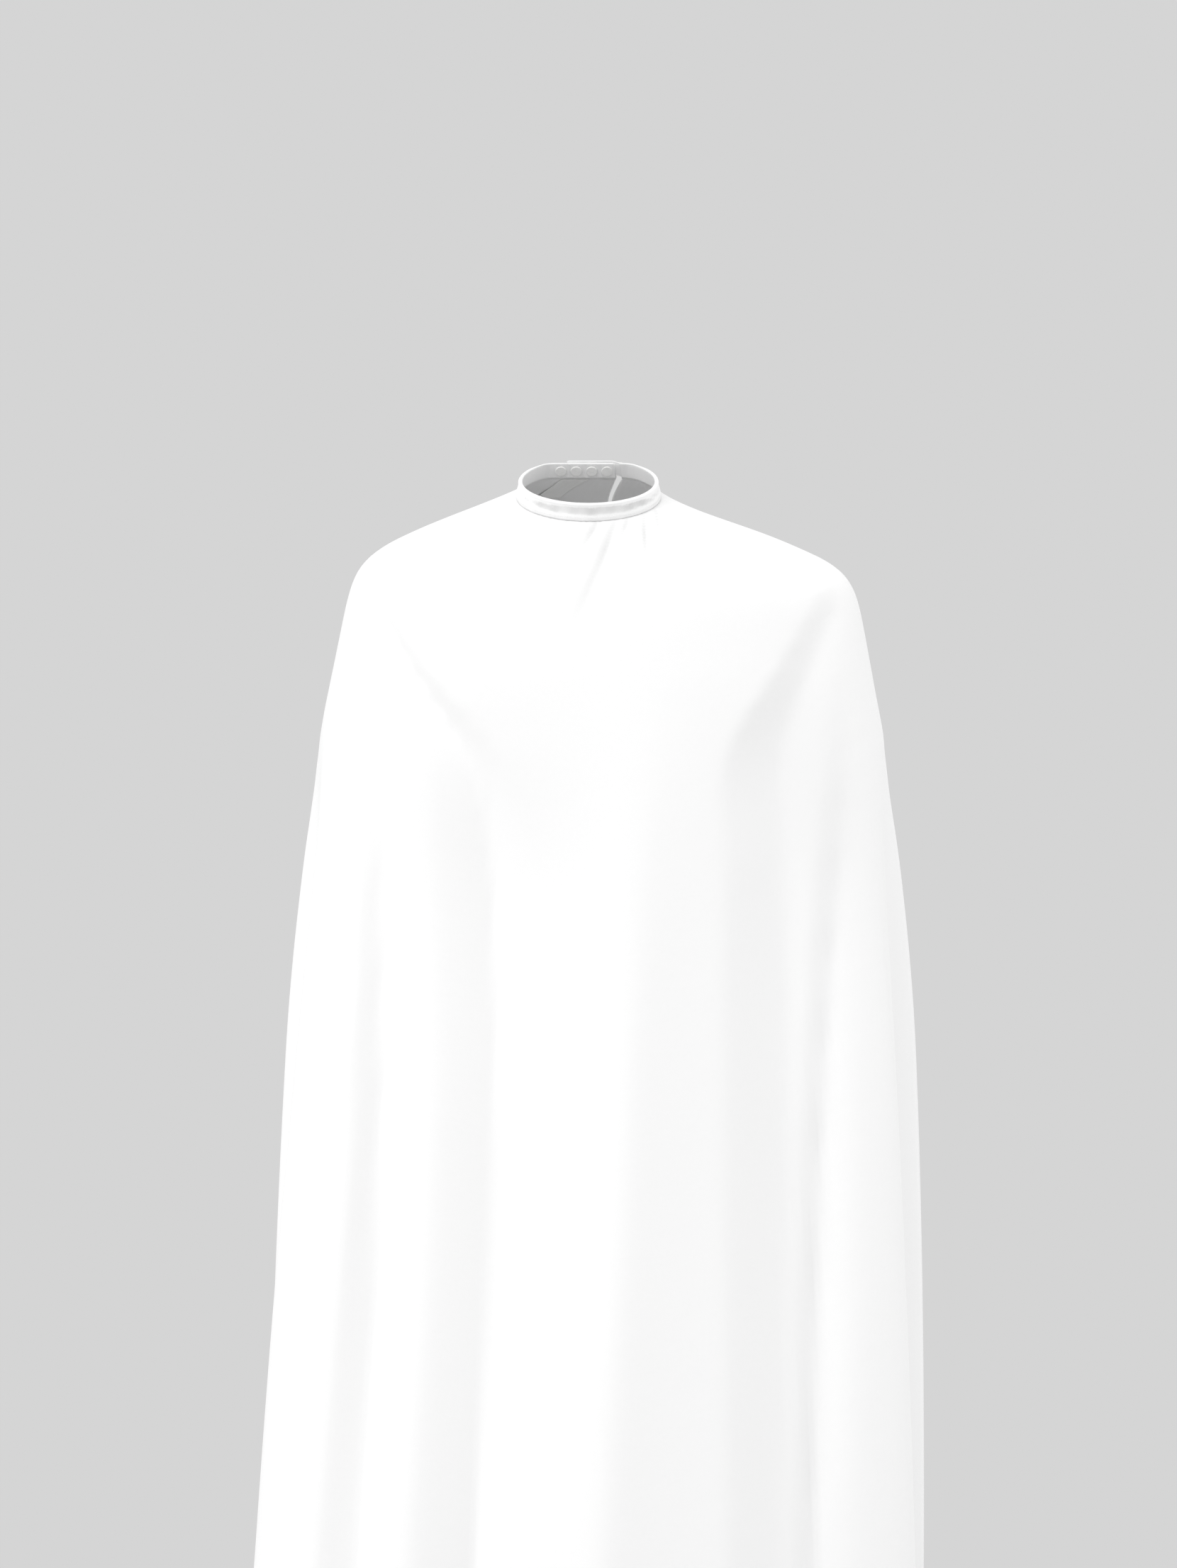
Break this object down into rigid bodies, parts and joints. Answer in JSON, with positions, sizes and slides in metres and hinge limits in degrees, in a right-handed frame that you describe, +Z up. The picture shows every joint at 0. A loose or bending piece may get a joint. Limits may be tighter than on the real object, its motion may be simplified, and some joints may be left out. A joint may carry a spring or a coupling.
{
  "type": "barber cape",
  "caption": "Long white haircutting cape hung from an elastic neck band, closed at the nape by a snap tab over an underlap.",
  "frame": {"origin": "centre of the neck opening, half way up the neck band", "axes": "+Z up as worn, -Y the way the wearer faces, +X the wearer's left"},
  "size_m": [0.6806, 0.389, 1.2524],
  "materials": {
    "cape_cloth": "fine white polyester, soft matt with a faint sheen",
    "band_cloth": "the same white cloth, folded and gathered",
    "elastic": "ribbed white elastic tape",
    "interlining": "white non-woven interlining",
    "thread": "white sewing thread",
    "snap": "white moulded acetal",
    "label": "blank white satin"
  },
  "bodies": {
    "cape": {"cape_panel": "cape_cloth", "neck_band_cover": "band_cloth", "neck_elastic": "elastic", "band_zigzag_thread": "thread", "neckline_seam_thread": "thread", "underlap_interlining": "interlining", "underlap_seam_thread": "thread", "care_label": "label", "front_hem_thread": "thread", "left_side_hem_thread": "thread", "right_side_hem_thread": "thread", "left_back_hem_thread": "thread", "right_back_hem_thread": "thread", "left_opening_thread": "thread", "right_opening_thread": "thread", "stud_1": "snap", "stud_cap_1": "snap", "stud_2": "snap", "stud_cap_2": "snap", "stud_3": "snap", "stud_cap_3": "snap", "stud_4": "snap", "stud_cap_4": "snap"},
    "tab": {"tab_cover": "band_cloth", "tab_interlining": "interlining", "tab_seam_thread": "thread", "socket_1": "snap", "socket_2": "snap", "socket_cap_1": "snap", "socket_cap_2": "snap"}
  },
  "joints": [
    {"name": "tab_swing", "type": "hinge", "parent": "cape", "child": "tab", "pos_m": [0.033, 0.05319, 0.01703], "axis": [0, 0.515, -0.8572], "range_deg": [0, 110]}
  ]
}
